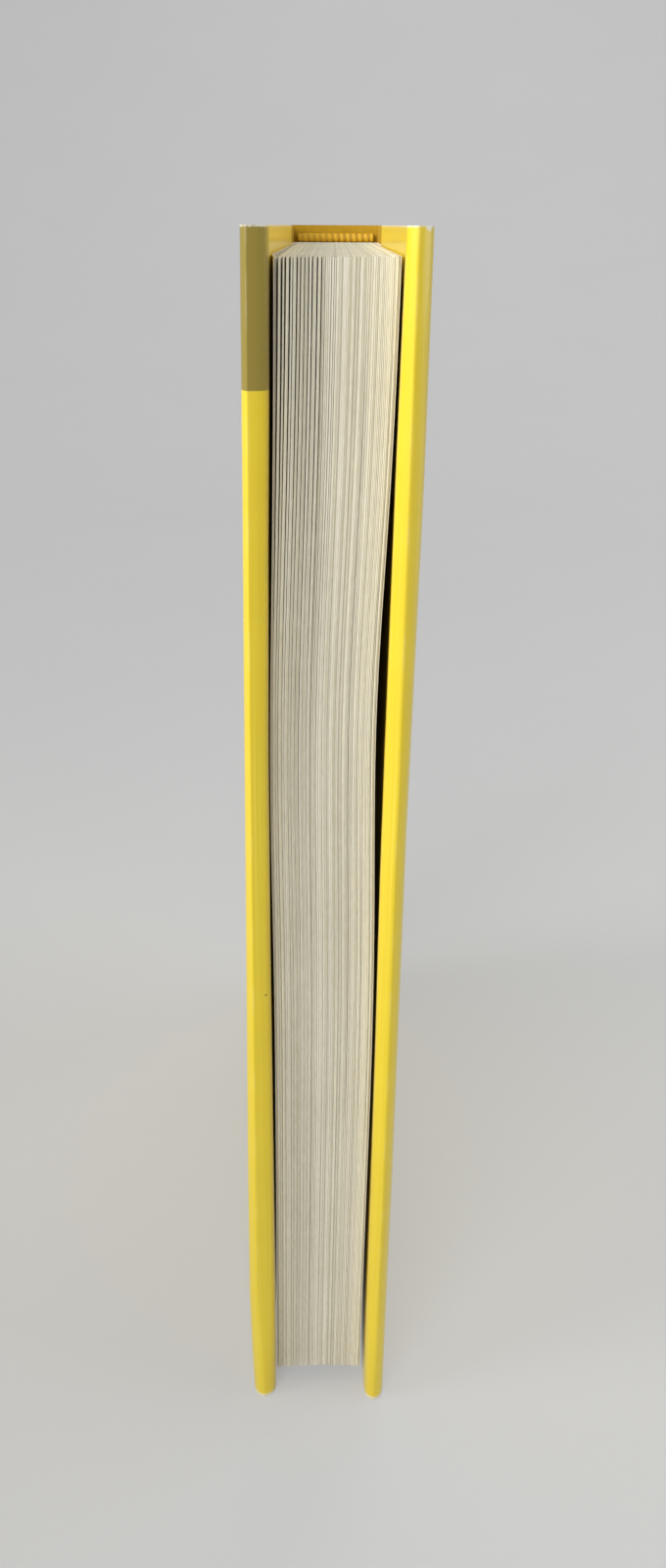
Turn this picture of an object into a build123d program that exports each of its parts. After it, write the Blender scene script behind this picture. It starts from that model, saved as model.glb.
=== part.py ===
from build123d import *
import math
import os

os.makedirs("parts", exist_ok=True)

# A jacketed hardcover book standing on its tail, in millimetres.
# X runs across the thickness with the front cover at -X, Y from the fore-edge to the spine, Z up.

# Text block
leaf_height = 229.0
leaf_width = 152.0
block_thickness = 18.5  # pages and both flyleaves at the fore-edge
spine_swell = 1.0  # extra thickness at the glued back
back_round = 1.2  # rounding of the back
fore_hollow = 0.45  # hollow of the fore-edge
lean = 0.5  # the fore-edge leans to the back cover at head and tail
bow = 1.0  # and bows to the front cover in between
bow_level = 0.66  # height of the bow as a share of the leaf
bow_reach = 42.0
fan_count = 11  # gaps between the leaves that have fanned open at the head
fan_pitch = 0.62
fan_width = 0.2
fan_depth = 9.0

# Case
head_square = 4.0
tail_square = 3.5
fore_square = 2.8
board_thickness = 2.5
board_round = 0.35
cloth_thickness = 0.25
turn_in = 15.0
joint_width = 6.5  # back edge of a board to the back corner of the block
inlay_thickness = 0.8
inlay_inset = 0.9  # spine inlay inside the line of the boards' outer faces
groove_depth = 2.9

# Papers, linings and bands
endpaper_thickness = 0.15
mull_thickness = 0.25
liner_thickness = 0.2
band_height = 2.15
band_width = 1.5
band_pitch = 1.6
band_groove = 0.45
tape_length = 11.0
tape_thickness = 0.2

# Dust jacket
jacket_thickness = 0.2
jacket_short = 0.15  # the case shows this much past the jacket at head and tail
front_flap = 122.0
back_flap = 112.0
fold_ease = 1.05  # fold of the jacket ahead of the covered board
fold_run_in = 3.0  # length over which the fold settles onto the board, inside and outside
fold_run_out = 45.0
front_head_in = 0.3  # how far the fold swells past the flap and past the panel
front_head_out = 0.1
front_tail_in = 0.9
front_tail_out = 1.0
back_head_in = 0.6
back_head_out = 0.1
back_tail_in = 0.3
back_tail_out = 0.45
corner_round = 1.0

# Clearances
page_room = 0.55  # flap to the furthest lean or bow of the block
leaf_air = 0.08
slack = 0.05
hollow = 0.55  # hollow back between the linings and the case
hinge_gap = 0.3
hinge_stand_off = 0.15  # hinge line outside the jacket

# Heights
board_height = leaf_height + head_square + tail_square
block_tail = tail_square
block_head = tail_square + leaf_height
jacket_height = board_height - 2 * jacket_short

# Layers of a cover, as distances from the middle plane
flap_inner = block_thickness / 2 + max(lean, bow - lean) + page_room
pastedown_face = flap_inner + jacket_thickness + slack
turn_in_face = pastedown_face + endpaper_thickness
board_inner = turn_in_face + cloth_thickness
board_outer = board_inner + board_thickness
case_outer = board_outer + cloth_thickness
jacket_outer = case_outer + slack + jacket_thickness
case_thickness = case_outer - turn_in_face

# Half thickness of the block at the fore-edge and at the back, and of its pages without flyleaves
block_front = block_thickness / 2
block_back = (block_thickness + spine_swell) / 2
page_front = block_front - endpaper_thickness - leaf_air
page_back = block_back - endpaper_thickness - leaf_air

# Layers behind the back, as radii about one centre line
back_radius = (block_back**2 + back_round**2) / (2 * back_round)
fore_radius = (block_front**2 + fore_hollow**2) / (2 * fore_hollow)
mull_radius = back_radius + mull_thickness
liner_radius = mull_radius + liner_thickness
tuck_radius = liner_radius + hollow
inlay_radius = tuck_radius + cloth_thickness
case_radius = inlay_radius + inlay_thickness + cloth_thickness
jacket_radius = case_radius + slack + jacket_thickness

# Depths, with the middle of the whole depth at zero
nose_to_fore = fore_square + fold_ease + jacket_thickness
depth = nose_to_fore + leaf_width + back_round + jacket_radius - back_radius
nose_y = -depth / 2
fore_y = nose_y + nose_to_fore
back_y = fore_y + leaf_width
arc_y = back_y + back_round - back_radius
loft_fore_y = fore_y - back_round / 3
loft_back_y = back_y + 2 * back_round
case_fore_y = fore_y - fore_square
board_back_y = back_y - joint_width
board_width = board_back_y - case_fore_y - cloth_thickness

# Spine inlay edge and hinge line
inlay_half = board_outer - inlay_inset
edge_half = inlay_half + cloth_thickness
edge_y = arc_y + math.sqrt(tuck_radius**2 - edge_half**2)
hinge_y = (board_back_y + edge_y) / 2
hinge_x = jacket_outer + hinge_stand_off


def sway(z):
    level = block_tail + bow_level * leaf_height
    return lean - bow * math.exp(-(((z - level) / bow_reach) ** 2))


def fore_line(x, low, high, width=0.0):
    steps = 10
    line = []
    for i in range(steps + 1):
        share = i / steps
        z = low + share * (high - low)
        line.append((x + sway(z) + width * share, z))
    return line


def back_strip(inner, outer, half):
    # part of a ring behind the back, drawn in the sketch in hand
    with Locations((0, arc_y)):
        Circle(outer)
        Circle(inner, mode=Mode.SUBTRACT)
    with Locations((0, arc_y + outer)):
        Rectangle(2 * half, outer, mode=Mode.INTERSECT)


def jacket_section(side, flap_width, swell_in, swell_out):
    # outline of one cover's jacket from the hinge round the fold to the free edge of the flap
    outer_x = jacket_outer + swell_out
    inner_x = flap_inner - swell_in
    nose = (outer_x - inner_x) / 2
    turn_y = nose_y + nose
    middle = side * (outer_x + inner_x) / 2
    start_y = hinge_y - hinge_gap / 2
    flap_y = nose_y + flap_width
    t = side * jacket_thickness
    panel = side * jacket_outer
    flap = side * flap_inner
    outer = side * outer_x
    inner = side * inner_x
    ahead = [(0, -1), (0, -1)]
    behind = [(0, 1), (0, 1)]
    with BuildLine() as outline:
        Line((panel, start_y), (panel, turn_y + fold_run_out))
        Spline((panel, turn_y + fold_run_out), (outer, turn_y), tangents=ahead)
        ThreePointArc((outer, turn_y), (middle, nose_y), (inner, turn_y))
        Spline((inner, turn_y), (flap, turn_y + fold_run_in), tangents=behind)
        Line((flap, turn_y + fold_run_in), (flap, flap_y))
        Line((flap, flap_y), (flap + t, flap_y))
        Line((flap + t, flap_y), (flap + t, turn_y + fold_run_in))
        Spline((flap + t, turn_y + fold_run_in), (inner + t, turn_y), tangents=ahead)
        ThreePointArc((inner + t, turn_y), (middle, nose_y + jacket_thickness), (outer - t, turn_y))
        Spline((outer - t, turn_y), (panel - t, turn_y + fold_run_out), tangents=behind)
        Line((panel - t, turn_y + fold_run_out), (panel - t, start_y))
        Line((panel - t, start_y), (panel, start_y))
    return outline.line


# Pages, one solid, lofted from the straight back to the leaning and bowed fore-edge
with BuildPart() as text_block:
    with BuildSketch(Plane.XZ.offset(-loft_back_y)):
        with Locations((0, (block_tail + block_head) / 2)):
            Rectangle(2 * page_back, leaf_height)
    with BuildSketch(Plane.XZ.offset(-loft_fore_y)):
        with BuildLine():
            left = Spline(*fore_line(-page_front, block_tail, block_head))
            right = Spline(*fore_line(page_front, block_tail, block_head))
            Line(left @ 0, right @ 0)
            Line(left @ 1, right @ 1)
        make_face()
    loft(ruled=True)
    # rounded back
    with BuildSketch(Plane.XY.offset(block_tail - 1)):
        with Locations((0, arc_y + back_radius)):
            Rectangle(3 * page_back, back_radius)
        with Locations((0, arc_y)):
            Circle(back_radius, mode=Mode.SUBTRACT)
        with Locations((0, arc_y + back_radius)):
            Rectangle(3 * page_back, 8 * back_round, mode=Mode.INTERSECT)
    extrude(amount=leaf_height + 2, mode=Mode.SUBTRACT)
    # hollow fore-edge
    with BuildSketch(Plane.XY.offset(block_tail - 1)):
        with Locations((0, fore_y + fore_hollow - fore_radius)):
            Circle(fore_radius)
    extrude(amount=leaf_height + 2, mode=Mode.SUBTRACT)
    # leaves fanned open at the head, on the front cover's side
    for i in range(fan_count):
        gap_x = -page_front + fan_pitch * (i + 1)
        gap_low = block_tail + leaf_height * (0.45 + 0.22 * ((i * 5) % 7) / 7)
        with BuildSketch(Plane.XZ.offset(-(fore_y - 1))):
            with BuildLine():
                near = Spline(*fore_line(gap_x, gap_low, block_head + 1))
                far = Spline(*fore_line(gap_x, gap_low, block_head + 1, fan_width))
                Line(near @ 1, far @ 1)
            make_face()
        extrude(amount=-(fan_depth * (1 - 0.4 * (i % 3) / 3) + 1), mode=Mode.SUBTRACT)
text_block.part.label = "text_block"
export_step(text_block.part, "parts/text_block.step")

# Flyleaves on the sides of the block
with BuildPart() as front_flyleaf:
    with BuildSketch(Plane.XZ.offset(-loft_back_y)):
        with Locations((-(block_back - endpaper_thickness / 2), (block_tail + block_head) / 2)):
            Rectangle(endpaper_thickness, leaf_height)
    with BuildSketch(Plane.XZ.offset(-loft_fore_y)):
        with BuildLine():
            left = Spline(*fore_line(-block_front, block_tail, block_head))
            right = Spline(*fore_line(endpaper_thickness - block_front, block_tail, block_head))
            Line(left @ 0, right @ 0)
            Line(left @ 1, right @ 1)
        make_face()
    loft(ruled=True)
    with BuildSketch(Plane.XY.offset(block_tail - 1)):
        with Locations((0, (fore_y + back_y) / 2)):
            Rectangle(3 * block_back, leaf_width)
    extrude(amount=leaf_height + 2, mode=Mode.INTERSECT)
front_flyleaf.part.label = "front_flyleaf"
export_step(front_flyleaf.part, "parts/front_flyleaf.step")

with BuildPart() as back_flyleaf:
    with BuildSketch(Plane.XZ.offset(-loft_back_y)):
        with Locations((block_back - endpaper_thickness / 2, (block_tail + block_head) / 2)):
            Rectangle(endpaper_thickness, leaf_height)
    with BuildSketch(Plane.XZ.offset(-loft_fore_y)):
        with BuildLine():
            left = Spline(*fore_line(block_front - endpaper_thickness, block_tail, block_head))
            right = Spline(*fore_line(block_front, block_tail, block_head))
            Line(left @ 0, right @ 0)
            Line(left @ 1, right @ 1)
        make_face()
    loft(ruled=True)
    with BuildSketch(Plane.XY.offset(block_tail - 1)):
        with Locations((0, (fore_y + back_y) / 2)):
            Rectangle(3 * block_back, leaf_width)
    extrude(amount=leaf_height + 2, mode=Mode.INTERSECT)
back_flyleaf.part.label = "back_flyleaf"
export_step(back_flyleaf.part, "parts/back_flyleaf.step")

# Linings glued to the back
with BuildPart() as spine_mull:
    with BuildSketch(Plane.XY.offset(block_tail)):
        back_strip(back_radius + leaf_air, mull_radius, page_back)
    extrude(amount=leaf_height)
spine_mull.part.label = "spine_mull"
export_step(spine_mull.part, "parts/spine_mull.step")

with BuildPart() as spine_liner:
    with BuildSketch(Plane.XY.offset(block_tail)):
        back_strip(mull_radius, liner_radius, page_back)
    extrude(amount=leaf_height)
spine_liner.part.label = "spine_liner"
export_step(spine_liner.part, "parts/spine_liner.step")

# Headband, a ribbed bead on the head of the back with its tape glued behind the liner
band_half = page_back - 0.2
band_inner = liner_radius - band_width
band_turns = int(2 * band_half / band_pitch)
band_step = math.degrees(band_pitch / back_radius)
with BuildPart() as headband:
    with BuildSketch(Plane.XY.offset(block_head)):
        back_strip(band_inner, liner_radius + tape_thickness, band_half)
    extrude(amount=band_height)
    top_edges = headband.faces().sort_by(Axis.Z)[-1].edges().filter_by(GeomType.CIRCLE)
    chamfer(top_edges, band_width * 0.35)
    with Locations((0, arc_y, block_head + band_height)):
        with PolarLocations(
            back_radius,
            band_turns,
            start_angle=90 - band_step * (band_turns - 1) / 2,
            angular_range=band_step * band_turns,
        ):
            Box(3 * band_width, band_groove, band_groove, rotation=(45, 0, 0), mode=Mode.SUBTRACT)
    with BuildSketch(Plane.XY.offset(block_head - tape_length)):
        back_strip(liner_radius, liner_radius + tape_thickness, band_half)
    extrude(amount=tape_length + band_height / 4)
headband.part.label = "headband"
export_step(headband.part, "parts/headband.step")

with BuildPart() as tailband:
    mirror(headband.part, about=Plane.XY.offset((block_tail + block_head) / 2))
tailband.part.label = "tailband"
export_step(tailband.part, "parts/tailband.step")

# Boards of the case
with BuildPart() as front_board:
    with BuildSketch(Plane.XY.offset(cloth_thickness)):
        with Locations((-board_outer, case_fore_y + cloth_thickness)):
            Rectangle(board_thickness, board_width, align=(Align.MIN, Align.MIN))
    extrude(amount=board_height - 2 * cloth_thickness)
    fore_face = front_board.faces().sort_by(Axis.Y)[0]
    end_faces = front_board.faces().sort_by(Axis.Z)
    round_edges = fore_face.edges().filter_by(Axis.Z)
    round_edges += end_faces[0].edges().filter_by(Axis.Y) + end_faces[-1].edges().filter_by(Axis.Y)
    fillet(round_edges, board_round)
front_board.part.label = "front_board"
export_step(front_board.part, "parts/front_board.step")

with BuildPart() as back_board:
    mirror(front_board.part, about=Plane.YZ)
back_board.part.label = "back_board"
export_step(back_board.part, "parts/back_board.step")

# Cloth over the boards, turned in at head, tail and fore-edge
with BuildPart() as front_cloth:
    with BuildSketch():
        with Locations((-case_outer, case_fore_y)):
            Rectangle(case_thickness, board_width + cloth_thickness, align=(Align.MIN, Align.MIN))
    extrude(amount=board_height)
    fore_face = front_cloth.faces().sort_by(Axis.Y)[0]
    end_faces = front_cloth.faces().sort_by(Axis.Z)
    round_edges = fore_face.edges().filter_by(Axis.Z)
    round_edges += end_faces[0].edges().filter_by(Axis.Y) + end_faces[-1].edges().filter_by(Axis.Y)
    fillet(round_edges, board_round + cloth_thickness)
    add(front_board.part, mode=Mode.SUBTRACT)
    with BuildSketch(Plane.XY.offset(turn_in)):
        with Locations((-board_inner, case_fore_y + turn_in)):
            Rectangle(cloth_thickness, board_width, align=(Align.MIN, Align.MIN))
    extrude(amount=board_height - 2 * turn_in, mode=Mode.SUBTRACT)
front_cloth.part.label = "front_cloth"
export_step(front_cloth.part, "parts/front_cloth.step")

with BuildPart() as back_cloth:
    mirror(front_cloth.part, about=Plane.YZ)
back_cloth.part.label = "back_cloth"
export_step(back_cloth.part, "parts/back_cloth.step")

# Endpapers pasted over the turn-ins and down onto the board between them
with BuildPart() as front_pastedown:
    with BuildSketch(Plane.XY.offset(block_tail)):
        with Locations((-turn_in_face, fore_y)):
            Rectangle(endpaper_thickness, board_back_y - fore_y, align=(Align.MIN, Align.MIN))
    extrude(amount=leaf_height)
    with BuildSketch(Plane.XY.offset(turn_in + slack)):
        with Locations((-board_inner, case_fore_y + turn_in + slack)):
            Rectangle(
                cloth_thickness,
                board_back_y - case_fore_y - turn_in - slack,
                align=(Align.MIN, Align.MIN),
            )
    extrude(amount=board_height - 2 * (turn_in + slack))
front_pastedown.part.label = "front_pastedown"
export_step(front_pastedown.part, "parts/front_pastedown.step")

with BuildPart() as back_pastedown:
    mirror(front_pastedown.part, about=Plane.YZ)
back_pastedown.part.label = "back_pastedown"
export_step(back_pastedown.part, "parts/back_pastedown.step")

# Spine of the case, a card inlay with the cloth turned over its edges
with BuildPart() as spine_inlay:
    with BuildSketch(Plane.XY.offset(cloth_thickness)):
        back_strip(inlay_radius, inlay_radius + inlay_thickness, inlay_half)
    extrude(amount=board_height - 2 * cloth_thickness)
spine_inlay.part.label = "spine_inlay"
export_step(spine_inlay.part, "parts/spine_inlay.step")

with BuildPart() as spine_cloth:
    with BuildSketch():
        back_strip(tuck_radius, case_radius, edge_half)
    extrude(amount=board_height)
    add(spine_inlay.part, mode=Mode.SUBTRACT)
    with BuildSketch(Plane.XY.offset(turn_in)):
        back_strip(tuck_radius, inlay_radius, inlay_half)
    extrude(amount=board_height - 2 * turn_in, mode=Mode.SUBTRACT)
spine_cloth.part.label = "spine_cloth"
export_step(spine_cloth.part, "parts/spine_cloth.step")

# Cloth pressed into the grooves, which flexes as a cover opens
with BuildPart() as front_joint:
    with BuildSketch():
        with BuildLine():
            ThreePointArc(
                (-(case_outer - cloth_thickness / 2), board_back_y + cloth_thickness),
                (-(case_outer - groove_depth), hinge_y),
                (-(inlay_half + cloth_thickness / 2), edge_y - cloth_thickness),
            )
        trace(line_width=cloth_thickness)
    extrude(amount=board_height)
front_joint.part.label = "front_joint"
export_step(front_joint.part, "parts/front_joint.step")

with BuildPart() as back_joint:
    mirror(front_joint.part, about=Plane.YZ)
back_joint.part.label = "back_joint"
export_step(back_joint.part, "parts/back_joint.step")

# Dust jacket, a loose sheet that swells at its folds
with BuildPart() as jacket_front:
    with BuildSketch(Plane.XY.offset(jacket_short)):
        make_face(jacket_section(-1, front_flap, front_tail_in, front_tail_out))
    with BuildSketch(Plane.XY.offset(jacket_short + jacket_height)):
        make_face(jacket_section(-1, front_flap, front_head_in, front_head_out))
    loft(ruled=True)
jacket_front.part.label = "jacket_front"
export_step(jacket_front.part, "parts/jacket_front.step")

with BuildPart() as jacket_back:
    with BuildSketch(Plane.XY.offset(jacket_short)):
        make_face(jacket_section(1, back_flap, back_tail_in, back_tail_out))
    with BuildSketch(Plane.XY.offset(jacket_short + jacket_height)):
        make_face(jacket_section(1, back_flap, back_head_in, back_head_out))
    loft(ruled=True)
jacket_back.part.label = "jacket_back"
export_step(jacket_back.part, "parts/jacket_back.step")

with BuildPart() as jacket_spine:
    with BuildSketch(Plane.XY.offset(jacket_short)) as spine_outside:
        with Locations((0, arc_y)):
            Circle(jacket_radius)
        with Locations((0, hinge_y + hinge_gap / 2)):
            Rectangle(2 * jacket_outer, jacket_radius, align=(Align.CENTER, Align.MIN), mode=Mode.INTERSECT)
        fillet(spine_outside.vertices().group_by(Axis.Y)[-1], corner_round + jacket_thickness)
    extrude(amount=jacket_height)
    with BuildSketch(Plane.XY.offset(jacket_short)) as spine_inside:
        with Locations((0, arc_y)):
            Circle(jacket_radius - jacket_thickness)
        with Locations((0, hinge_y)):
            Rectangle(
                2 * (jacket_outer - jacket_thickness),
                jacket_radius,
                align=(Align.CENTER, Align.MIN),
                mode=Mode.INTERSECT,
            )
        fillet(spine_inside.vertices().group_by(Axis.Y)[-1], corner_round)
    extrude(amount=jacket_height, mode=Mode.SUBTRACT)
jacket_spine.part.label = "jacket_spine"
export_step(jacket_spine.part, "parts/jacket_spine.step")
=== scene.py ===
import bpy, math, random
import numpy as np
from mathutils import Matrix, Vector


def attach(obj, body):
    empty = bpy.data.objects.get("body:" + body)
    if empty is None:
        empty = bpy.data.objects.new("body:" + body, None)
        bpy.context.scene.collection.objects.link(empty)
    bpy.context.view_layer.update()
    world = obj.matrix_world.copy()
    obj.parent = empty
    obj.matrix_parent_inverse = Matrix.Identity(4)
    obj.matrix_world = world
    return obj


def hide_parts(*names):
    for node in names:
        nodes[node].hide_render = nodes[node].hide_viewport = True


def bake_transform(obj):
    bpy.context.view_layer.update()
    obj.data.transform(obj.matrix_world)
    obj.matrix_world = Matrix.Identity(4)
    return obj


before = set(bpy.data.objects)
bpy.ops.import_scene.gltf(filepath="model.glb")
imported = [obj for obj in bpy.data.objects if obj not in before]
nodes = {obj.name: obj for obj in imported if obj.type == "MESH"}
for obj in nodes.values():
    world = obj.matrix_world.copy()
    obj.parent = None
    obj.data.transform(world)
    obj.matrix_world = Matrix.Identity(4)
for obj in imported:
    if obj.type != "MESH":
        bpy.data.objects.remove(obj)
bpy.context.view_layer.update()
mm = 0.001
uvUnit = 100.0  # millimetres of a flat sheet to one unit of its map
print("frame loaded:", len(nodes), "solids")


class Val:  # one value in a node tree, with Python's operators
    def __init__(self, home, out):
        self.home, self.out = home, out

    def maths(self, kind, a, b=0.0):
        return self.home.node("ShaderNodeMath", {"operation": kind}, {0: a, 1: b})

    def __add__(self, other): return self.maths("ADD", self, other)
    def __radd__(self, other): return self.maths("ADD", other, self)
    def __sub__(self, other): return self.maths("SUBTRACT", self, other)
    def __rsub__(self, other): return self.maths("SUBTRACT", other, self)
    def __mul__(self, other): return self.maths("MULTIPLY", self, other)
    def __rmul__(self, other): return self.maths("MULTIPLY", other, self)
    def __pow__(self, other): return self.maths("POWER", self, other)
    def __abs__(self): return self.maths("ABSOLUTE", self)


class Nodes:  # a node tree and the ways to add to it
    def __init__(self, owner):
        owner.use_nodes = True
        self.tree = owner.node_tree
        self.tree.nodes.clear()

    def node(self, kind, settings=None, inputs=None, out=0):
        n = self.tree.nodes.new(kind)
        for key, value in (settings or {}).items():
            if key == "stops":  # a ramp's (place, colour) pairs
                ramp = n.color_ramp.elements
                while len(ramp) < len(value):
                    ramp.new(0.5)
                for stop, (place, colour) in zip(ramp, value):
                    stop.position, stop.color = place, colour
            else:
                setattr(n, key, value)
        for key, value in (inputs or {}).items():
            if isinstance(value, Val):
                self.tree.links.new(value.out, n.inputs[key])
            else:
                n.inputs[key].default_value = value
        return Val(self, n.outputs[out]) if n.outputs else None

    def mix(self, share, a, b):  # two colours
        kind = {"data_type": "RGBA", "clamp_factor": True}
        return self.node("ShaderNodeMix", kind, {0: share, 6: a, 7: b}, out=2)

    def smooth(self, value, low, high):  # 0 at low, 1 at high
        kind = {"interpolation_type": "SMOOTHSTEP"}
        return self.node("ShaderNodeMapRange", kind, {0: value, 1: low, 2: high})

    def sine(self, value):
        return self.node("ShaderNodeMath", {"operation": "SINE"}, {0: value})

    def stretch(self, point, *by):
        return self.node("ShaderNodeVectorMath", {"operation": "MULTIPLY"}, {0: point, 1: by})

    def noise(self, point, scale, detail=2.0, rough=0.5):
        inputs = {"Vector": point, "Scale": scale, "Detail": detail, "Roughness": rough}
        return self.node("ShaderNodeTexNoise", None, inputs)

    def parts(self, point):  # x, y and z of a vector
        first = self.node("ShaderNodeSeparateXYZ", None, {0: point})
        return [Val(self, o) for o in first.out.node.outputs]

    def place(self):  # object coordinates in millimetres
        return self.stretch(self.node("ShaderNodeTexCoord", out="Object"), 1 / mm, 1 / mm, 1 / mm)

    def flat(self):  # the sheet laid flat, in millimetres
        return self.stretch(self.node("ShaderNodeTexCoord", out="UV"), uvUnit, uvUnit, uvUnit)

    def painted(self, name):  # a number that the mesh carries at each point
        return self.node("ShaderNodeAttribute", {"attribute_name": name}, out="Fac")

    def bump(self, height, depth):  # depth in millimetres
        inputs = {"Strength": 1.0, "Distance": depth * mm, "Height": height}
        return self.node("ShaderNodeBump", None, inputs)

    def shown(self):  # 1 where a surface is seen, also in or through another, 0 where it only throws light
        names = ("Is Camera Ray", "Is Glossy Ray", "Is Transmission Ray")
        camera, glossy, through = [self.node("ShaderNodeLightPath", out=name) for name in names]
        return camera + glossy + through


class Finish(Nodes):  # one material with its shader
    def __init__(self, name, fixed):
        self.mat = bpy.data.materials.new(name)
        Nodes.__init__(self, self.mat)
        self.surface = self.node("ShaderNodeBsdfPrincipled", None, fixed)

    def link(self, links):
        for socket, value in links.items():
            self.tree.links.new(value.out, self.surface.out.node.inputs[socket])

    def done(self, surface):
        self.node("ShaderNodeOutputMaterial", None, {0: surface})
        return self.mat

    def set(self, links):
        self.link(links)
        return self.done(self.surface)


def srgb(*levels):
    parts = [level / 255 for level in levels]
    return (*(p / 12.92 if p <= 0.04045 else ((p + 0.055) / 1.055) ** 2.4 for p in parts), 1.0)


# finishes; a pair is the from and to of a soft edge, or the u and v of a spot
printLook = {
    "yellow": srgb(239, 211, 48), "deep": srgb(235, 206, 43), "olive": srgb(148, 130, 50),
    # the first two colours below are lit and shaded copies of the yellow: a painted sheen and a painted
    # shade
    "paintedSheen": srgb(252, 236, 118), "paintedShade": srgb(206, 178, 52), "paper": srgb(240, 236, 220),
    "dirt": srgb(110, 84, 36), "rough": 0.22, "roughFine": 0.12, "roughGrain": 0.08,
    "grain": 0.09, "fine": 2.4, "streak": (3.2, 0.012, 1), "wave": (0.045, 0.01575, 0.045),
    "relief": 0.03, "reliefWave": 2.0, "reliefFine": 0.15, "reliefStreak": 0.6,
    "bandFoot": (213.88, 214.12), "bandFrom": (-6.8, -6.5), "bandTo": (158.3, 158.6),
    "rubHead": (235.95, 236.4), "rubTail": (0.7, 1.5), "rubRagged": 1.3, "rubShare": 0.85,
    "creaseEdge": (0.05, 0.3), "creaseShare": 0.12,
    "foldEdge": (3.0, 7.0), "paintedSheenShare": 0.3, "paintedShadeShare": 0.22,
    "speck": (-2.45, 105.9), "speckEdge": (0.12, 0.28),
    "nick": (1.9, 236.4), "nickEdge": (0.35, 0.75), "nickRagged": 0.9, "nickSquash": 0.8,
}


def laminatedPrint(name, band, nick):
    p = printLook
    f = Finish(name, {"Roughness": 0.32, "IOR": 1.46, "Coat Weight": 0.3, "Coat Roughness": 0.12})
    u, v, _ = f.parts(f.flat())  # u runs across the sheet from the crease of its fold, v up from the tail
    grain = f.noise(f.flat(), p["grain"], 3)
    fine = f.noise(f.flat(), p["fine"])
    colour = f.mix(f.smooth(grain, 0.3, 0.7) * 0.6 + fine * 0.4, p["deep"], p["yellow"])
    plain = 1.0
    if band:  # plain band across the head of the panel and its fold, and one speck below it
        inBand = f.smooth(v, *p["bandFoot"])
        onPanel = f.smooth(u, *p["bandFrom"]) * (1 - f.smooth(u, *p["bandTo"]))
        colour = f.mix(inBand * onPanel, colour, p["olive"])
        plain = 1 - inBand * onPanel
        speckU, speckV = p["speck"]
        far = ((u - speckU) ** 2 + (v - speckV) ** 2) ** 0.5
        colour = f.mix(1 - f.smooth(far, *p["speckEdge"]), colour, p["dirt"])
    # print rubbed pale along the cut edges, and paler along the crease
    edges = f.smooth(v, *p["rubHead"]) + (1 - f.smooth(v, *p["rubTail"]))
    rub = f.smooth(edges * 0.9 + (fine - 0.5) * p["rubRagged"], 0.55, 1.0)
    crease = (1 - f.smooth(abs(u), *p["creaseEdge"])) * f.smooth(grain, 0.45, 0.7)
    colour = f.mix(rub * p["rubShare"], colour, p["paper"])
    colour = f.mix(crease * p["creaseShare"], colour, p["paper"])
    if nick:  # frayed nick at the head of the fold
        nickU, nickV = p["nick"]
        far = (((u - nickU) * p["nickSquash"]) ** 2 + (v - nickV) ** 2) ** 0.5
        fray = 1 - f.smooth(far + (fine - 0.5) * p["nickRagged"], *p["nickEdge"])
        colour = f.mix(fray, colour, p["paper"])
    streak = f.noise(f.stretch(f.flat(), *p["streak"]), 1.0)  # streaks along the fold: painted sheen and painted shade, and a little relief
    onFold = (1 - f.smooth(abs(u), *p["foldEdge"])) * plain
    # painted sheen and painted shade in streaks along the fold
    colour = f.mix(f.smooth(streak, 0.52, 0.72) * onFold * p["paintedSheenShare"], colour, p["paintedSheen"])
    colour = f.mix(f.smooth(streak, 0.48, 0.28) * onFold * p["paintedShadeShare"], colour, p["paintedShade"])
    wave = f.noise(f.stretch(f.flat(), *p["wave"]), 1.0)
    height = wave * p["reliefWave"] + fine * p["reliefFine"] + streak * onFold * p["reliefStreak"]
    rough = p["rough"] + fine * p["roughFine"] + grain * p["roughGrain"]
    return f.set({"Base Color": colour, "Roughness": rough, "Normal": f.bump(height, p["relief"])})


paperLook = {"fibre": 3.2, "cloud": 0.05, "fibreShare": 0.65, "cloudShare": 0.35, "relief": 0.02}


def barePaper(name, light, dark, rough=0.85):
    p = paperLook
    f = Finish(name, {"Roughness": rough, "Specular IOR Level": 0.25})
    place = f.place()
    fibre = f.noise(place, p["fibre"], 4, 0.6)
    cloud = f.noise(place, p["cloud"])
    level = f.smooth(cloud * p["cloudShare"] + fibre * p["fibreShare"], 0.3, 0.7)
    return f.set({"Base Color": f.mix(level, dark, light), "Normal": f.bump(fibre, p["relief"])})


pageLook = {
    "ramp": [(0.0, srgb(104, 95, 68)), (0.3, srgb(179, 171, 143)), (0.65, srgb(212, 205, 180)),
             (1.0, srgb(248, 243, 225))],
    "endTone": 0.7, "endShare": 0.85, "endTilt": (0.6, 0.9),
    "fibre": 0.42, "cloud": 0.2, "nap": 0.9, "relief": 0.03,
    "napScale": 4.5, "fibreScale": 5.0, "fibreStretch": 0.09, "cloudScale": 0.12, "cloudStretch": 0.3,
}


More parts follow.
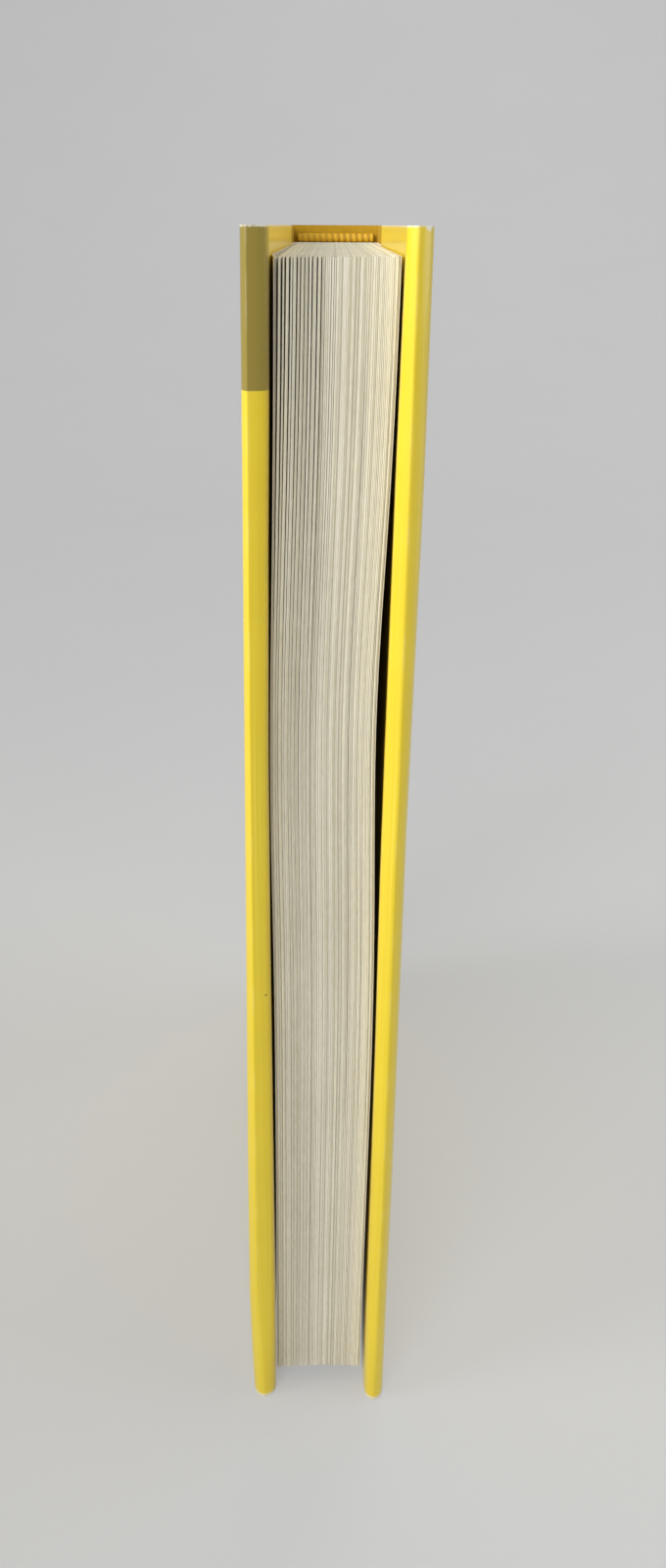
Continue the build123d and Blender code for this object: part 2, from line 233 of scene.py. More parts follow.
def pageStock(name):
    p = pageLook
    f = Finish(name, {"Roughness": 0.9, "Specular IOR Level": 0.2})
    place, tone = f.place(), f.painted("leafTone")
    _, _, rise = f.parts(f.node("ShaderNodeNewGeometry", out="Normal"))
    onEnd = f.smooth(abs(rise), *p["endTilt"])  # head and tail are trimmed more evenly than the fore-edge
    tone = tone + (p["endTone"] - tone) * onEnd * p["endShare"]
    nap = f.noise(place, p["napScale"], 3, 0.7)
    fibre = f.noise(f.stretch(place, 1, 1, p["fibreStretch"]), p["fibreScale"], 3, 0.6)
    cloud = f.noise(f.stretch(place, 1, 1, p["cloudStretch"]), p["cloudScale"])
    level = tone + (fibre - 0.5) * p["fibre"] + (cloud - 0.5) * p["cloud"] + (nap - 0.5) * onEnd * p["nap"]
    colour = f.node("ShaderNodeValToRGB", {"stops": p["ramp"]}, {0: level})
    return f.set({"Base Color": colour, "Normal": f.bump(fibre, p["relief"])})


clothLook = {"light": srgb(206, 164, 26), "dark": srgb(160, 118, 8),
             "pitch": 0.42, "weave": 0.2, "slub": 0.5, "relief": 0.05}


def wovenCloth(name):
    c = clothLook
    f = Finish(name, {"Roughness": 0.75, "Specular IOR Level": 0.3})
    x, y, z = f.parts(f.place())
    turns = 2 * math.pi / c["pitch"]
    weave = f.sine((x + y) * turns) * f.sine(z * turns)
    slub = f.noise(f.place(), 0.8, 3)
    colour = f.mix(0.5 + weave * c["weave"] + (slub - 0.5) * c["slub"], c["dark"], c["light"])
    return f.set({"Base Color": colour, "Normal": f.bump(weave + slub, c["relief"])})


threadLook = {"light": srgb(212, 168, 26), "dark": srgb(172, 126, 10), "strand": 0.4, "relief": 0.04}


def bandThread(name):
    t = threadLook
    f = Finish(name, {"Roughness": 0.55, "Specular IOR Level": 0.4})
    strand = f.noise(f.stretch(f.place(), 6, 1, 1), 2.0, 3)
    # the thread is painted darker in the grooves between its windings: painted shade
    level = f.smooth(f.painted("rib") + (strand - 0.5) * t["strand"], 0.25, 0.8)
    return f.set({"Base Color": f.mix(level, t["dark"], t["light"]), "Normal": f.bump(strand, t["relief"])})


boardLook = {"light": srgb(168, 160, 146), "dark": srgb(118, 112, 102),
             "fleck": 0.6, "layer": 0.4, "relief": 0.04}


def greyBoard(name):
    b = boardLook
    f = Finish(name, {"Roughness": 0.9, "Specular IOR Level": 0.2})
    fleck = f.noise(f.place(), 2.2, 5, 0.65)
    layer = f.noise(f.stretch(f.place(), 8, 0.6, 0.6), 0.8)
    level = f.smooth(fleck * b["fleck"] + layer * b["layer"], 0.35, 0.65)
    return f.set({"Base Color": f.mix(level, b["dark"], b["light"]), "Normal": f.bump(fleck, b["relief"])})


gauzeLook = {"thread": srgb(238, 230, 208), "hole": srgb(170, 150, 110), "turns": 5.2, "relief": 0.06}


def gauze(name):
    g = gauzeLook
    f = Finish(name, {"Roughness": 0.9, "Specular IOR Level": 0.15})
    x, _, z = f.parts(f.place())
    holes = (f.sine(x * g["turns"]) ** 2) * (f.sine(z * g["turns"]) ** 2)
    colour = f.mix(holes, g["thread"], g["hole"])
    return f.set({"Base Color": colour, "Normal": f.bump(1 - holes, g["relief"])})


printFront = laminatedPrint("jacketPrintFront", True, False)
printBack = laminatedPrint("jacketPrintBack", False, True)
jacketInside = barePaper("jacketInside", srgb(246, 243, 232), srgb(236, 231, 216), 0.7)
endPaper = barePaper("endPaper", srgb(238, 228, 208), srgb(231, 219, 198))
pages = pageStock("pageStock")
cloth = wovenCloth("bookCloth")
bandGold = bandThread("bandThread")
board = greyBoard("greyBoard")
kraft = barePaper("kraftLining", srgb(186, 146, 98), srgb(164, 124, 78))
mull = gauze("mullGauze")
print("finishes made")


# lines and meshes, in millimetres
def newPiece(name, verts, faces, mats, matIndex=None, uv=None, tones=None, smooth=True):
    mesh = bpy.data.meshes.new(name)
    mesh.from_pydata([(x * mm, y * mm, z * mm) for x, y, z in verts], [], faces)
    for m in mats:
        mesh.materials.append(m)
    if matIndex is not None:
        mesh.polygons.foreach_set("material_index", matIndex)
    if uv is not None:
        layer = mesh.uv_layers.new(name="flat")
        for loop in mesh.loops:
            layer.data[loop.index].uv = uv[loop.vertex_index]
    for key, values in (tones or {}).items():
        mesh.attributes.new(key, "FLOAT", "POINT").data.foreach_set("value", values)
    mesh.polygons.foreach_set("use_smooth", [smooth] * len(mesh.polygons))
    mesh.update()
    piece = bpy.data.objects.new(name, mesh)
    bpy.context.scene.collection.objects.link(piece)
    return piece


def curve(points, steps):  # smooth line through points
    p = [Vector(q) for q in points]
    p = [p[0] * 2 - p[1]] + p + [p[-1] * 2 - p[-2]]
    line = []
    for i in range(1, len(p) - 2):
        a, b, c, d = p[i - 1 : i + 3]
        square, cube = 2 * a - 5 * b + 4 * c - d, 3 * b - a - 3 * c + d
        for k in range(steps):
            t = k / steps
            line.append(0.5 * (2 * b + (c - a) * t + square * t**2 + cube * t**3))
    line.append(p[-2])
    return [tuple(q) for q in line]


def soften(points, steps, passes):  # straight runs with their corners eased
    p = np.array(points)
    t = np.linspace(0, len(p) - 1, (len(p) - 1) * steps + 1)
    q = np.stack([np.interp(t, range(len(p)), p[:, k]) for k in (0, 1)], 1)
    for _ in range(passes):
        q[1:-1] = (q[:-2] + 2 * q[1:-1] + q[2:]) / 4
    return [tuple(r) for r in q]


def table(pairs, z):  # value at z from (z, value) pairs
    return float(np.interp(z, [a for a, _ in pairs], [b for _, b in pairs]))


def ease(t):
    t = max(0.0, min(1.0, t))
    return t * t * (3 - 2 * t)


def hump(z, level, reach):  # 1 at its level, fading over its reach
    return math.exp(-(((z - level) / reach) ** 2))


def evenly(low, high, steps):
    return [low + (high - low) * k / steps for k in range(steps + 1)]


def sheetPiece(name, rows, thickness, mats, zs, zero):
    # rows[j] is the outer line at height zs[j]; the inner face lies thickness behind it
    # the map's u counts along each line from its point number zero
    m, n = len(rows[0]), len(rows)
    front, back, uv = [], [], []
    for line, z in zip(rows, zs):
        q = np.array(line)
        d = np.gradient(q, axis=0)
        d /= np.linalg.norm(d, axis=1)[:, None]
        normal = np.stack([d[:, 1], -d[:, 0]], 1)
        s = np.concatenate([[0], np.cumsum(np.linalg.norm(np.diff(q, axis=0), axis=1))])
        s = s - s[zero]
        for i in range(m):
            front.append((q[i, 0], q[i, 1], z))
            uv.append((s[i] / uvUnit, z / uvUnit))
            back.append((q[i, 0] + normal[i, 0] * thickness, q[i, 1] + normal[i, 1] * thickness, z))
    k = len(front)
    verts, uv = front + back, uv + uv
    faces, mat = [], []
    for j in range(n - 1):
        for i in range(m - 1):
            a, b, c, d = j * m + i, j * m + i + 1, (j + 1) * m + i + 1, (j + 1) * m + i
            faces += [(a, d, c, b), (k + a, k + b, k + c, k + d)]
            mat += [0, 1]
    rims = [list(range(m)), [(n - 1) * m + i for i in range(m)][::-1],
            [j * m for j in range(n)][::-1], [j * m + m - 1 for j in range(n)]]
    for rim in rims:  # cut edges, on points of their own
        base = len(verts)
        for i in rim:
            verts += [front[i], back[i]]
            uv += [uv[i], uv[i]]
        for i in range(len(rim) - 1):
            a = base + 2 * i
            faces.append((a, a + 2, a + 3, a + 1))
            mat.append(1)
    return newPiece(name, verts, faces, mats, mat, uv)


# dust jacket, in two halves that meet at the middle of the spine
jacket = {
    "tail": 0.15, "head": 236.5, "thickness": 0.2, "rows": 96,
    "noseY": -79.9, "flapX": 10.3, "panelX": 13.95, "turnIn": 3.0, "swell": 47.6,
    "tongueTop": 34.0, "reach": 1.1,  # below this height the folds round out and reach forward
    "hingeY": 72.981, "hingeReach": 2.4, "hingeMargin": 4.0, "dent": 0.35, "dentY": 72.6, "dentReach": 2.2,
    "spineRadius": 42.759, "spineCentre": 37.141, "cornerRadius": 1.2,
    "steps": {"flap": 14, "turnIn": 8, "nose": 5, "swell": 18, "panel": 16, "hinge": 32, "corner": 6,
              "spine": 12},
    # each fold: its inner and outer x and the place of its crease, by height,
    # then the section above and at the tail, as share across and depth
    "creasePoint": 5,
    "front": {
        "flap": 122.0, "easing": 3,
        "inner": [(0, 9.2), (28, 9.3), (76, 9.65), (117, 9.95), (153, 10.1), (190, 9.9), (215, 9.65),
                  (236, 9.55)],
        "outer": [(0, 14.1), (4, 14.25), (11, 14.5), (28, 14.9), (60, 14.85), (91, 14.65), (164, 14.2),
                  (200, 13.95), (236, 13.8)],
        "crease": [(0, 0.66), (110, 0.69), (200, 0.75), (236, 0.76)],
        "nose": [(0, 2.8), (0.03, 1.6), (0.11, 0.8), (0.38, 0.36), (0.70, 0.1), (0.77, 0.06), (0.83, 0.3),
                 (0.975, 1.5), (1, 2.8)],
        "tongue": [(0, 3.2), (0.03, 1.9), (0.13, 1.0), (0.31, 0.3), (0.51, 0.0), (0.70, 0.26), (0.85, 0.96),
                   (0.955, 1.95), (1, 3.6)],
    },
    "back": {
        "flap": 112.0, "easing": 9,
        "inner": [(0, 10.4), (60, 10.3), (95, 10.1), (130, 9.8), (155, 9.78), (200, 9.88), (236, 10.1)],
        "outer": [(0, 14.6), (60, 14.6), (140, 14.2), (200, 14.35), (236, 14.1)],
        "crease": [(0, 0.56), (150, 0.58), (200, 0.48), (236, 0.42)],
        "nose": [(0, 2.8), (0.02, 1.9), (0.08, 1.25), (0.28, 0.62), (0.48, 0.12), (0.58, 0.0), (0.70, 0.22),
                 (0.92, 1.35), (1, 2.8)],
        "tongue": [(0, 3.2), (0.035, 1.8), (0.14, 0.9), (0.31, 0.25), (0.50, -0.03), (0.69, 0.25),
                   (0.86, 0.9), (0.965, 1.8), (1, 3.2)],
    },
}


def foldLine(fold, z):  # section of a fold, from the flap to the panel
    j = jacket
    inner, outer = table(fold["inner"], z), table(fold["outer"], z)
    drawn, _ = fold["nose"][j["creasePoint"]]
    now = table(fold["crease"], z)  # the crease wanders along the fold
    nose = [(a * now / drawn if a < drawn else now + (a - drawn) * (1 - now) / (1 - drawn), b)
            for a, b in fold["nose"]]
    rounded = ease((j["tongueTop"] - z) / j["tongueTop"])  # opens to a round tongue at the tail
    shape = [(a + (p - a) * rounded, b + (q - b) * rounded) for (a, b), (p, q) in zip(nose, fold["tongue"])]
    front = j["noseY"] - j["reach"] * rounded
    return [(inner + (outer - inner) * a, front + b) for a, b in shape]


def jacketLine(side, fold, z):
    j, steps = jacket, jacket["steps"]
    section = foldLine(fold, z)
    (inner, start), (outer, end) = section[0], section[-1]
    flapEnd = j["noseY"] + fold["flap"]
    line = []
    for k in range(steps["flap"]):  # flap, from its free edge
        line.append((j["flapX"], flapEnd + (start + j["turnIn"] - flapEnd) * k / steps["flap"]))
    for k in range(steps["turnIn"]):  # into the fold
        t = k / steps["turnIn"]
        line.append((j["flapX"] + (inner - j["flapX"]) * ease(t), start + j["turnIn"] * (1 - t)))
    line += soften(section, steps["nose"], fold["easing"])[:-1]
    flatFrom, hingeFrom = j["noseY"] + j["swell"], j["hingeY"] - j["hingeMargin"]
    for k in range(steps["swell"]):  # out of the fold onto the panel
        t = k / steps["swell"]
        line.append((outer + (j["panelX"] - outer) * ease(t), end + (flatFrom - end) * t))
    for k in range(steps["panel"]):
        line.append((j["panelX"], flatFrom + (hingeFrom - flatFrom) * k / steps["panel"]))
    r = j["cornerRadius"]
    cx = j["panelX"] - r
    cy = j["spineCentre"] + math.sqrt((j["spineRadius"] - r) ** 2 - cx**2)
    for k in range(steps["hinge"]):  # across the hinge, drawn in a little over the groove
        y = hingeFrom + (cy - hingeFrom) * k / steps["hinge"]
        line.append((j["panelX"] - j["dent"] * hump(y, j["dentY"], j["dentReach"]), y))
    turn = math.atan2(cy - j["spineCentre"], cx)
    for k in range(steps["corner"]):  # corner of the spine
        a = turn * k / steps["corner"]
        line.append((cx + r * math.cos(a), cy + r * math.sin(a)))
    for a in evenly(turn, math.pi / 2, steps["spine"]):  # half of the rounded spine
        line.append((j["spineRadius"] * math.cos(a), j["spineCentre"] + j["spineRadius"] * math.sin(a)))
    return [(side * x, y) for x, y in line]


def jacketHalf(name, side, fold, finish):
    j, steps = jacket, jacket["steps"]
    zs = evenly(j["tail"], j["head"], j["rows"] - 1)
    rows = [jacketLine(side, fold, z) for z in zs]
    crease = steps["flap"] + steps["turnIn"] + steps["nose"] * j["creasePoint"]
    half = sheetPiece(name, rows, -side * j["thickness"], [finish, jacketInside], zs, crease)
    if side > 0:
        half.data.flip_normals()
    return half


for name, side, key, finish, cover in (("jacketFrontHalf", -1, "front", printFront, "front_cover"),
                                       ("jacketBackHalf", 1, "back", printBack, "back_cover")):
    half = jacketHalf(name, side, jacket[key], finish)
    y, reach = jacket["hingeY"] * mm, jacket["hingeReach"] * mm
    y + reach
    y - reach
    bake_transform(half)
    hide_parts("jacket_" + key, "jacket_spine")
print("jacket made")

# text block, leaf by leaf
leaves = {
    "count": 134, "air": 0.002, "tail": 3.5, "head": 232.5,
    "rowsUp": 40, "shares": (0.0, 0.015, 0.035, 0.065, 1.0),
    "halfFore": 9.02, "halfBack": 9.52, "foreY": -75.85, "radius": 40.209, "backCentre": 37.141,
    "hollow": 0.42, "skew": 0.3, "skewFrom": 0.6, "lift": 0.15,
    "lean": 0.45, "leanTail": 0.45, "leanRise": 0.55, "leanReach": 120.0,
    "bow": 1.0, "bowLevel": 154.64, "bowReach": 42.0,
    "waist": 0.45, "waistLevel": 165.0, "waistReach": 30.0,
    "belly": 0.3, "bellyLevel": 95.0, "bellyReach": 50.0,
    # groups fanned open at the front: leaves, gap behind them at the head, foot of that gap
    "fan": [(1, 0.38, 165), (4, 0.32, 155), (3, 0.24, 175), (5, 0.24, 150), (3, 0.15, 90), (5, 0.21, 150),
            (4, 0.18, 130), (5, 0.15, 110), (5, 0.18, 70), (4, 0.21, 160), (6, 0.22, 140), (5, 0.18, 130)],
    "fanLeast": 0.055, "fanCurve": 0.8, "fanDepth": 0.065,
    "standOff": 0.17, "standFoot": 166.0, "standReach": 45.0,
    # partings in the rest, by share across the block: gap, from, to
    "partings": {
        0.395: (0.06, 150, 262), 0.42: (0.045, 100, 215), 0.442: (0.06, 160, 262), 0.466: (0.05, 165, 262),
        0.485: (0.035, -30, 90), 0.545: (0.04, 50, 200), 0.57: (0.035, 20, 140), 0.62: (0.035, 80, 190),
        0.69: (0.04, 0, 150), 0.745: (0.1, 60, 232), 0.78: (0.05, 120, 200), 0.80: (0.04, -30, 120),
        0.85: (0.035, -30, 100), 0.874: (0.06, 60, 150), 0.89: (0.035, 130, 236), 0.925: (0.04, 110, 236),
        0.948: (0.06, 140, 200), 0.97: (0.07, 50, 236)},
    "partingEase": 30.0,
    # tones and uneven edges, drawn at random; fanned leaves are also painted lighter, a painted light
    # against the shade from the fold and the gaps
    "seed": 11, "toneChange": 0.12, "tones": (0.54, 0.64), "fanPaintedLight": 0.18, "partingTone": 0.95,
    "driftKeep": 0.6, "driftNew": 0.4, "driftShare": 0.08, "vary": 0.2, "varyFanned": 0.14,
    "rise": 0.3, "ragFore": 0.05, "ragHead": 0.06, "ragTail": 0.1, "darkSetBack": 0.05,
}


def sway(z):
    b = leaves
    lean = b["lean"] * (b["leanTail"] + b["leanRise"] * ease(z / b["leanReach"]))
    return lean - b["bow"] * hump(z, b["bowLevel"], b["bowReach"])


def leafPoint(x, share, z, setBack):
    b = leaves  # x runs across the closed block from the front, share from fore-edge to back
    u = x / b["halfFore"] - 1
    belly = b["belly"] * (1 - u) / 2 * hump(z, b["bellyLevel"], b["bellyReach"])
    waist = b["waist"] * (u + 1) / 2 * hump(z, b["waistLevel"], b["waistReach"])
    fore = u * b["halfFore"] + sway(z) - belly - waist
    foreY = b["foreY"] + b["hollow"] * (1 - min(1, u * u)) + b["skew"] * (u + b["skewFrom"]) + setBack
    backY = b["backCentre"] + math.sqrt(b["radius"] ** 2 - (u * b["halfBack"]) ** 2)
    lift = b["lift"] * (u - 1) * (1 - share)
    return (fore * (1 - share) + u * b["halfBack"] * share, foreY + (backY - foreY) * share, z + lift)


def leafMesh(base, verts, faces, shares, sheet):  # sheet(row, edge, share) gives a point of one leaf
    d, rows = len(shares), leaves["rowsUp"]
    for r in range(rows + 1):
        for edge in (0, 1):
            verts += [sheet(r, edge, share) for share in shares]

    def at(row, edge, k):
        return base + (row * 2 + edge) * d + k

    for r in range(rows):
        for k in range(d - 1):
            faces.append((at(r, 0, k), at(r + 1, 0, k), at(r + 1, 0, k + 1), at(r, 0, k + 1)))
            faces.append((at(r, 1, k), at(r, 1, k + 1), at(r + 1, 1, k + 1), at(r + 1, 1, k)))
        faces.append((at(r, 0, 0), at(r, 1, 0), at(r + 1, 1, 0), at(r + 1, 0, 0)))
        faces.append((at(r, 0, d - 1), at(r + 1, 0, d - 1), at(r + 1, 1, d - 1), at(r, 1, d - 1)))
    for k in range(d - 1):
        faces.append((at(0, 0, k), at(0, 0, k + 1), at(0, 1, k + 1), at(0, 1, k)))
        faces.append((at(rows, 0, k), at(rows, 1, k), at(rows, 1, k + 1), at(rows, 0, k + 1)))


def standOff(z):  # how far the front leaves stand off towards the head
    return leaves["standOff"] * ease((z - leaves["standFoot"]) / leaves["standReach"])


def nearFore(share):  # 1 at the fore-edge, 0 from the foot of the fan on
    return max(0.0, 1 - share / leaves["fanDepth"])


def leafHeights(drop, rise):
    zs = evenly(leaves["tail"], leaves["head"], leaves["rowsUp"])
    return [zs[0] + rise] + zs[1:-1] + [zs[-1] - drop]


def pageBlock():
    b = leaves
    rnd = random.Random(b["seed"])
    step = 2 * b["halfFore"] / b["count"]
    gaps, last = [], 0
    for many, gap, foot in b["fan"]:
        last += many
        gaps.append((last, gap, foot))  # first leaf behind each gap
    fanEnd = last * step

    def gapAt(gap, foot, z):
        return max(b["fanLeast"], gap * max(0.0, (z - foot) / (b["head"] - foot)) ** b["fanCurve"])

    def fanShift(leaf, place, z):
        widths = [gapAt(gap, foot, z) for _, gap, foot in gaps]
        clear = sum(width for width, (behind, _, _) in zip(widths, gaps) if behind > leaf)
        return (sum(widths) - standOff(z)) * (fanEnd - place) / fanEnd - clear

    partings = {int(share * b["count"]): p for share, p in b["partings"].items()}
    verts, faces, tones = [], [], []
    drift, lastGroup = 0.0, None
    for leaf in range(b["count"]):
        x = (leaf * step + b["air"], (leaf + 1) * step - b["air"])
        group = sum(behind <= leaf for behind, _, _ in gaps)
        fanned = leaf < last
        if group != lastGroup or rnd.random() < b["toneChange"]:
            # fanned leaves painted lighter: painted light against the shade among them
            groupTone = rnd.uniform(*b["tones"]) + b["fanPaintedLight"] * fanned
            rise, lastGroup = rnd.uniform(0, b["rise"]), group
        drift = drift * b["driftKeep"] + rnd.uniform(-1, 1) * b["driftNew"]
        vary = b["varyFanned"] if fanned else b["vary"]
        tone = groupTone + b["driftShare"] * drift + rnd.uniform(-vary, vary)
        if leaf in partings or leaf - 2 in partings:
            tone = b["partingTone"]
        setBack = abs(rnd.gauss(0, b["ragFore"])) + b["darkSetBack"] * (1 - tone)
        drop = abs(rnd.gauss(0, b["ragHead"]))
        zs = leafHeights(drop, rise + abs(rnd.gauss(0, b["ragTail"])))

        def sheet(row, edge, share):
            z, place, shift = zs[row], x[edge], 0.0
            if fanned:  # each group of leaves stands clear of the next towards the head
                shift = fanShift(leaf, place, z)
            near = leaf if edge else leaf - 1
            if near in partings:  # both leaves at a parting give way
                gap, foot, top = partings[near]
                opening = gap * ease((z - foot) / b["partingEase"]) * ease((top - z) / b["partingEase"])
                shift += (-0.5 if edge else 0.5) * opening
            return leafPoint(place + shift * nearFore(share), share, z, setBack)

        leafMesh(len(verts), verts, faces, b["shares"], sheet)
        tones += [tone] * (len(verts) - len(tones))
    return newPiece("pageLeaves", verts, faces, [pages], tones={"leafTone": tones}, smooth=False)


flyleaves = {"thickness": 0.15, "air": 0.08, "trim": 0.05, "rest": -10.22, "bend": 0.15,
             "shares": (0.0, 0.02, 0.05, 0.09, 0.14, 0.22, 0.35, 0.5, 0.7, 0.85, 1.0)}


def flyLeaf(name, side):
    f = flyleaves
    near = -f["air"] if side < 0 else 2 * leaves["halfFore"] + f["air"]
    x = sorted((near, near + side * f["thickness"]))
    zs = leafHeights(f["trim"], f["trim"])
    verts, faces = [], []

    def sheet(row, edge, share):
        z = zs[row]
        if side > 0:
            return leafPoint(x[edge], share, z, f["trim"])
        px, py, pz = leafPoint(x[edge] - standOff(z) * nearFore(share), share, z, f["trim"])
        # the front one leans on the flap towards the head
        bend = ease(share / f["bend"]) * ease(2 * (1 - share)) * standOff(z) / leaves["standOff"]
        return (px + (f["rest"] + edge * f["thickness"] - px) * bend, py, pz)

    leafMesh(0, verts, faces, f["shares"], sheet)
    return newPiece(name, verts, faces, [endPaper], smooth=False)


block = pageBlock()
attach(block, "book_block")
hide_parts("text_block")
for name, side, node in (("frontFlyleaf", -1, "front_flyleaf"), ("backFlyleaf", 1, "back_flyleaf")):
    leaf = flyLeaf(name, side)
    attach(leaf, "book_block")
    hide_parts(node)
print("leaves made:", leaves["count"])

# headband and tailband, a bead wound with thread over a tape
band = {
    "half": 10.2, "radius": 40.25, "centreY": 37.141, "head": 232.5, "tail": 3.5,
    "stepsAlong": 260, "stepsRound": 18,
    "bead": 1.05, "deep": 0.72, "seat": 0.15, "clear": 0.02, "endLength": 0.5, "endSize": 0.25,
    "pitch": 1.6, "rib": 0.06, "slant": 0.1, "worn": 0.25, "wornTo": -0.35, "wornFade": 0.9,
    "tapeLength": 11.0, "tapeOver": 0.9, "tapeFrom": 0.43, "tapeTo": 0.62, "tapeTone": 0.4, "tapeSteps": 24,
}


def wovenBand(name, z0, up):
    b = band
    n, m, p = b["stepsAlong"], b["stepsRound"], b["tapeSteps"]
    half = b["half"] / b["radius"]
    verts, tones, faces = [], [], []

    def addPoint(a, r, z, tone):
        verts.append((r * math.cos(a), b["centreY"] + r * math.sin(a), z0 + up * z))
        tones.append(tone)

    def addTube(base, steps, sides, out):
        for i in range(steps):
            for k in range(sides):
                q, r = base + i * sides, (k + 1) % sides
                face = (q + k, q + r, q + sides + r, q + sides + k)
                faces.append(face if out else face[::-1])
        first, last = (tuple(base + row * sides + k for k in range(sides)) for row in (0, steps))
        faces.extend([first[::-1], last] if out else [first, last[::-1]])

    for t in evenly(-1, 1, n):
        a = math.pi / 2 - t * half
        close = min(1.0, (1 - abs(t)) * b["half"] / b["endLength"])
        size = b["endSize"] + (1 - b["endSize"]) * math.sqrt(max(0.0, 1 - (1 - close) ** 2))
        # the thread is rubbed flat towards the front cover
        crisp = b["worn"] + (1 - b["worn"]) * ease((t - b["wornTo"]) / b["wornFade"])
        for k in range(m):
            c = 2 * math.pi * k / m
            turns = t * b["half"] / b["pitch"] + b["slant"] * math.sin(c)
            # the winding also sets the thread's tone, darker in its grooves: painted shade
            wind = 0.5 + 0.5 * crisp * math.cos(2 * math.pi * turns)
            r = (b["bead"] - b["rib"] + b["rib"] * math.sqrt(wind)) * size
            out = b["radius"] - b["seat"] + b["deep"] / b["bead"] * r * math.cos(c)
            addPoint(a, out, b["bead"] + b["clear"] + r * math.sin(c), wind)
    addTube(0, n, m, up > 0)
    base = len(verts)  # tape glued to the back below the bead
    inside, outside = b["radius"] + b["tapeFrom"], b["radius"] + b["tapeTo"]
    low, high = -b["tapeLength"], b["tapeOver"]
    corners = ((inside, low), (inside, high), (outside, high), (outside, low))
    for t in evenly(-1, 1, p):
        for r, z in corners:
            addPoint(math.pi / 2 - t * half, r, z, b["tapeTone"])
    addTube(base, p, len(corners), up < 0)
    return newPiece(name, verts, faces, [bandGold], tones={"rib": tones})


for name, node, z0, up in (("headBand", "headband", band["head"], 1),
                           ("tailBand", "tailband", band["tail"], -1)):
    piece = wovenBand(name, z0, up)
    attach(piece, "book_block")
    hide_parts(node)
print("bands made")

# cloth in the grooves and the folds of the endpapers
joint = {
    "rows": 30, "steps": 6,
    "cloth": {"low": 0.0, "high": 236.5, "thickness": 0.25, "fixed": 75.9, "moving": 70.1,
              "line": [(13.58, 69.9), (12.9, 70.25), (11.6, 71.0), (10.85, 72.4), (10.82, 73.6),
                       (11.3, 75.0), (12.3, 75.9), (12.68, 76.06)]},
    "paper": {"low": 3.5, "high": 232.5, "thickness": 0.15, "fixed": 74.4, "moving": 69.7,
              "line": [(10.62, 69.5), (10.5, 70.6), (10.2, 71.9), (9.95, 73.2), (9.82, 74.6)]},
}


def jointStrip(name, side, strip, mat):
    zs = evenly(strip["low"], strip["high"], joint["rows"])
    line = [(side * x, y) for x, y in curve(strip["line"], joint["steps"])]
    piece = sheetPiece(name, [line] * len(zs), strip["thickness"] * side, [mat, mat], zs, 0)
    if side < 0:
        piece.data.flip_normals()
    return piece


for side, key in ((-1, "front"), (1, "back")):
    cover, part = key + "_cover", joint["cloth"]
    strip = jointStrip(key + "JointCloth", side, part, cloth)
    part["fixed"] * mm
    part["moving"] * mm
    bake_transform(strip)
    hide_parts(key + "_joint")
    part = joint["paper"]
    fold = jointStrip(key + "EndpaperFold", side, part, endPaper)
    part["fixed"] * mm
    part["moving"] * mm
    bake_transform(fold)
print("joints made")

# finishes on the solids that stay
for node, mat in (("front_board", board), ("back_board", board),
                  ("front_cloth", cloth), ("back_cloth", cloth), ("spine_cloth", cloth),
                  ("front_pastedown", endPaper), ("back_pastedown", endPaper),
                  ("spine_inlay", kraft), ("spine_liner", kraft), ("spine_mull", mull)):
    slots = nodes[node].data.materials
    slots.clear()
    slots.append(mat)
print("solids dressed")

# stage, light and camera
stage = {
    "floor": srgb(214, 214, 213), "patch": srgb(208, 208, 207), "patchScale": 0.01,
    "bounce": srgb(150, 150, 149), "glow": srgb(205, 205, 204), "glowShare": 0.5,
    "world": (0.80, 0.82, 0.86, 1.0), "worldStrength": 0.36, "sky": srgb(172, 172, 172),
    "halfWidth": 6000, "near": -6000, "flatTo": 600, "top": 3200,
    "bendFrom": 800, "bendRadius": 1600, "bendSteps": 48,
}

ground = Finish("studioFloor", {"Roughness": 0.9, "Specular IOR Level": 0.1})
seen = ground.shown()
paint = ground.mix(ground.noise(ground.place(), stage["patchScale"]), stage["floor"], stage["patch"])
# throws back less light than it shows
ground.link({"Base Color": ground.mix(seen, stage["bounce"], paint)})
glow = ground.node("ShaderNodeEmission", None, {"Color": stage["glow"]})
share = seen * stage["glowShare"]
ground.done(ground.node("ShaderNodeMixShader", None, {0: share, 1: ground.surface, 2: glow}))
sweepLine = [(stage["near"], 0.0), (stage["flatTo"], 0.0)]
for a in evenly(0, math.pi / 2, stage["bendSteps"]):
    r = stage["bendRadius"]
    sweepLine.append((stage["bendFrom"] + r * math.sin(a), r - r * math.cos(a)))
sweepLine.append((stage["bendFrom"] + stage["bendRadius"], stage["top"]))
verts, faces = [], []
for y, z in sweepLine:
    verts += [(-stage["halfWidth"], y, z), (stage["halfWidth"], y, z)]
for k in range(len(sweepLine) - 1):
    faces.append((2 * k, 2 * k + 1, 2 * k + 3, 2 * k + 2))
floor = newPiece("studioFloor", verts, faces, [ground.mat])

world = bpy.data.worlds.new("studio")
bpy.context.scene.world = world
air = Nodes(world)
light = air.node("ShaderNodeBackground", None, {0: stage["world"], 1: stage["worldStrength"]})
sky = air.node("ShaderNodeBackground", None, {0: stage["sky"]})  # what shows beyond the floor
both = air.node("ShaderNodeMixShader", None, {0: air.shown(), 1: light, 2: sky})
air.node("ShaderNodeOutputWorld", None, {0: both})

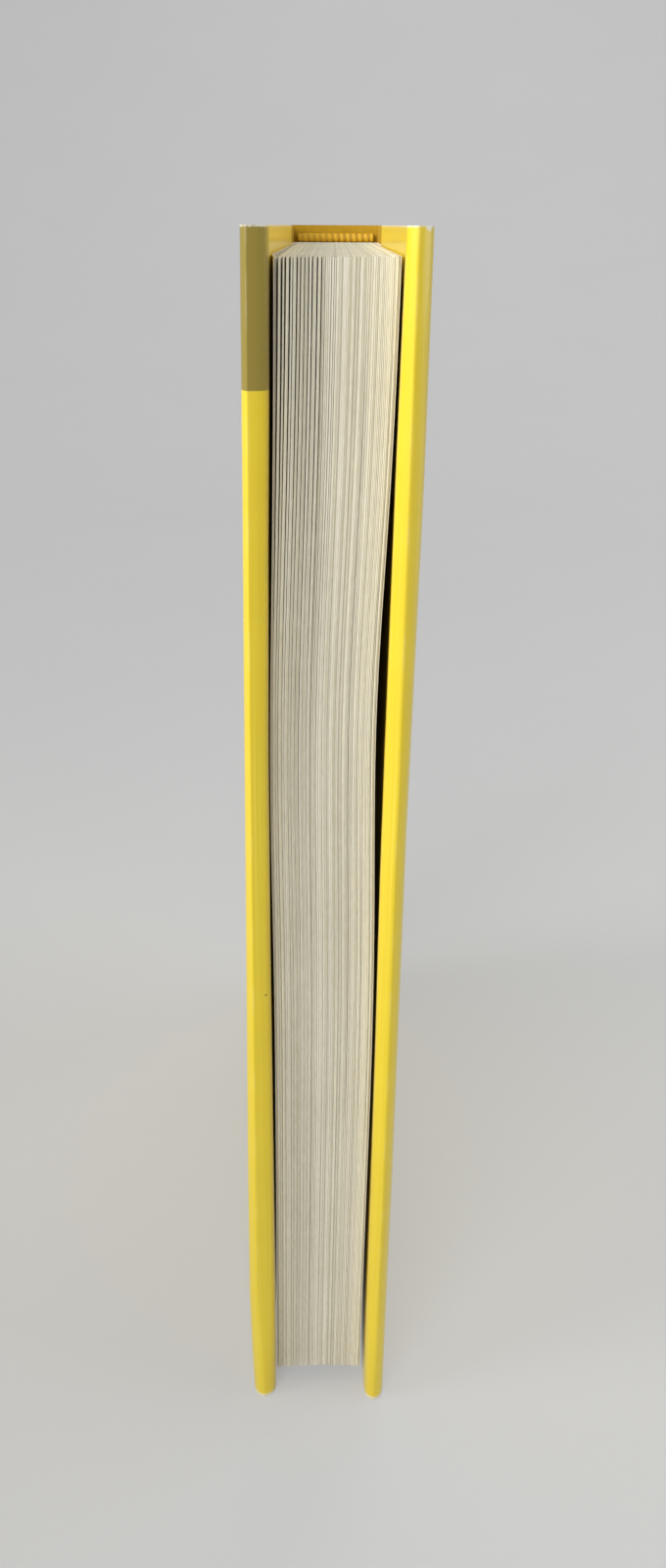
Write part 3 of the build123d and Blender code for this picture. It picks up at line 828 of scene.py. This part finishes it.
lamps = {
    "window": {"at": (-0.85, -0.3, 0.62), "aim": (0, -0.05, 0.36), "size": (0.55, 0.5),
               "watts": 1.0, "beam": 36, "tint": (1.0, 0.985, 0.96)},
    "front": {"at": (-0.55, -1.8, 1.15), "aim": (0, -0.05, 0.12), "size": (1.5, 1.4),
              "watts": 26.5, "beam": 180, "tint": (0.98, 0.985, 1.0)},
    "fill": {"at": (1.3, 0.1, 0.7), "aim": (0, 0, 0.15), "size": (1.2, 1.2),
             "watts": 8.0, "beam": 180, "tint": (1.0, 1.0, 1.0)},
    "rear": {"at": (0.4, 1.6, 1.8), "aim": (0, 0.05, 0.15), "size": (1.4, 1.2),
             "watts": 12.0, "beam": 180, "tint": (1.0, 1.0, 1.0)},
}
for name, spec in lamps.items():
    data = bpy.data.lights.new(name, "AREA")
    data.shape = "RECTANGLE"
    data.size, data.size_y = spec["size"]
    data.energy, data.spread = spec["watts"], math.radians(spec["beam"])
    data.color = spec["tint"]
    lamp = bpy.data.objects.new(name, data)
    bpy.context.scene.collection.objects.link(lamp)
    lamp.visible_camera = False
    lamp.location = spec["at"]
    lamp.rotation_euler = (Vector(spec["aim"]) - Vector(spec["at"])).to_track_quat("-Z", "Y").to_euler()

view = {"at": (0.00001, -0.26742, 0.2365), "pitch": 24.82, "yaw": 1.49, "roll": 0.30,
        "lens": 27.75, "sensor": 36, "shift": 0.0221, "near": 0.005}
yaw, pitch, roll = (math.radians(view[k]) for k in ("yaw", "pitch", "roll"))
right = Vector((math.cos(yaw), math.sin(yaw), 0))
ahead = Vector((-math.sin(yaw) * math.cos(pitch), math.cos(yaw) * math.cos(pitch), -math.sin(pitch)))
up = right.cross(ahead)
side = right * math.cos(roll) + up * math.sin(roll)
top = up * math.cos(roll) - right * math.sin(roll)
lensData = bpy.data.cameras.new("camera")
lensData.sensor_width = view["sensor"]
lensData.lens = view["lens"]
lensData.shift_x = view["shift"]
lensData.clip_start = view["near"]
camera = bpy.data.objects.new("camera", lensData)
bpy.context.scene.collection.objects.link(camera)
turn = Matrix((side, top, -ahead)).transposed().to_4x4()
camera.matrix_world = Matrix.Translation(view["at"]) @ turn
bpy.context.scene.camera = camera
bpy.context.scene.view_settings.view_transform = "Standard"
print("stage, light and camera set")
